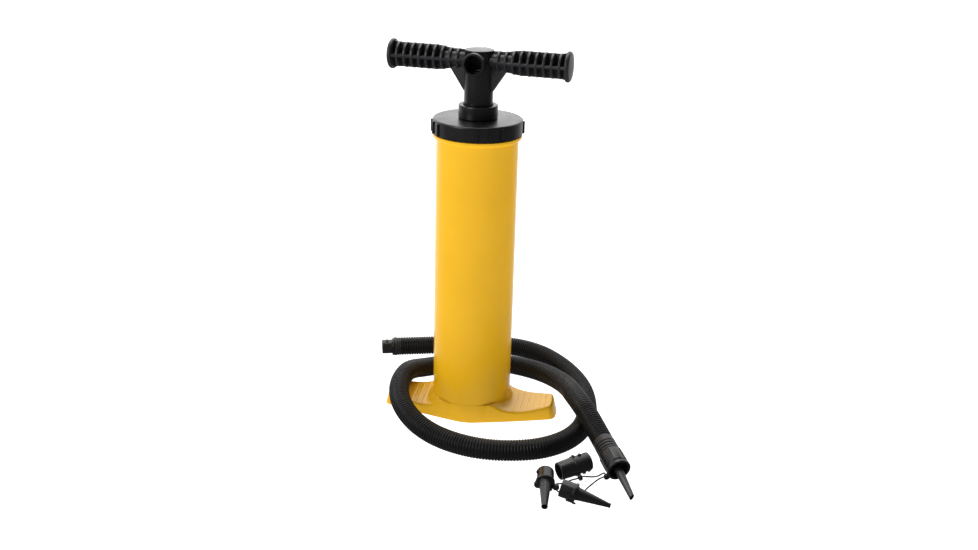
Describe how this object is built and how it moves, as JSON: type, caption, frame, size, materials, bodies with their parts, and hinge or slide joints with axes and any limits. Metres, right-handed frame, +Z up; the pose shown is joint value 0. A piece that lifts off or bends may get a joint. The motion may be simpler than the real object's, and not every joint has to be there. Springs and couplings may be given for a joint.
{
  "type": "double action hand pump",
  "caption": "Upright two-way hand pump with foot pedals, T-handle, valved piston, loose hose and a set of nozzles on a string.",
  "frame": {"origin": "on the barrel's axis, at the floor that the foot pedals stand on", "axes": "+Z up along the barrel's axis, +X and -X along the foot pedals, -Y towards the side with the blowing port"},
  "size_m": [0.3739, 0.417, 0.472],
  "materials": {
    "yellow_plastic": "glossy moulded",
    "black_plastic": "semi-gloss moulded",
    "satin_black_plastic": "satin moulded",
    "hose_plastic": "satin, finely ribbed",
    "cord_plastic": "satin",
    "rubber": "soft matte",
    "nylon": "satin",
    "steel": "zinc plated"
  },
  "bodies": {
    "housing": {"base": "yellow_plastic", "barrel": "yellow_plastic", "screw_cap": "black_plastic", "cap_gasket": "rubber", "gland_nut": "black_plastic", "rod_bush": "nylon", "rod_seal": "rubber", "hose": "hose_plastic", "tether_cord": "cord_plastic", "hose_rear_cuff": "satin_black_plastic", "hose_connector": "black_plastic", "hose_front_cuff": "satin_black_plastic", "hose_end_cup": "black_plastic", "pinch_nozzle": "black_plastic", "double_ended_adapter": "black_plastic", "large_nozzle": "black_plastic", "small_nozzle": "black_plastic"},
    "seal_ring": {"piston_seal": "rubber"},
    "plunger": {"piston_body": "satin_black_plastic", "piston_top_plate": "satin_black_plastic", "piston_screw_1": "steel", "piston_screw_2": "steel", "piston_screw_3": "steel", "piston_screw_4": "steel", "piston_rod": "satin_black_plastic", "handle": "black_plastic", "hub_top_plug": "black_plastic"},
    "lower_outlet_valve": {"lower_outlet_flap": "rubber"},
    "lower_inlet_valve": {"lower_inlet_flap": "rubber"},
    "upper_outlet_valve": {"upper_outlet_flap": "rubber"},
    "upper_inlet_valve": {"upper_inlet_flap": "rubber"}
  },
  "joints": [
    {"name": "stroke", "type": "slide", "parent": "housing", "child": "seal_ring", "axis": [0, 0, 1], "range_m": [0, 0.33]},
    {"name": "handle_turn", "type": "hinge", "parent": "seal_ring", "child": "plunger", "pos_m": [0, 0, 0], "axis": [0, 0, 1], "continuous": true},
    {"name": "lower_outlet_lift", "type": "hinge", "parent": "plunger", "child": "lower_outlet_valve", "pos_m": [-0.00228, -0.01735, 0.0193], "axis": [-0.9914, 0.1305, 0], "range_deg": [0, 18], "stiffness_Nm_per_rad": 0.01, "springref_deg": -9.74},
    {"name": "lower_inlet_lift", "type": "hinge", "parent": "plunger", "child": "lower_inlet_valve", "pos_m": [0.00228, 0.01735, 0.0157], "axis": [-0.9914, 0.1305, 0], "range_deg": [0, 18], "stiffness_Nm_per_rad": 0.01, "springref_deg": -9.74},
    {"name": "upper_outlet_lift", "type": "hinge", "parent": "plunger", "child": "upper_outlet_valve", "pos_m": [-0.00228, -0.01735, 0.0317], "axis": [0.9914, -0.1305, 0], "range_deg": [0, 18], "stiffness_Nm_per_rad": 0.01, "springref_deg": -9.74},
    {"name": "upper_inlet_lift", "type": "hinge", "parent": "plunger", "child": "upper_inlet_valve", "pos_m": [0.00228, 0.01735, 0.0353], "axis": [0.9914, -0.1305, 0], "range_deg": [0, 18], "stiffness_Nm_per_rad": 0.01, "springref_deg": -9.74}
  ]
}
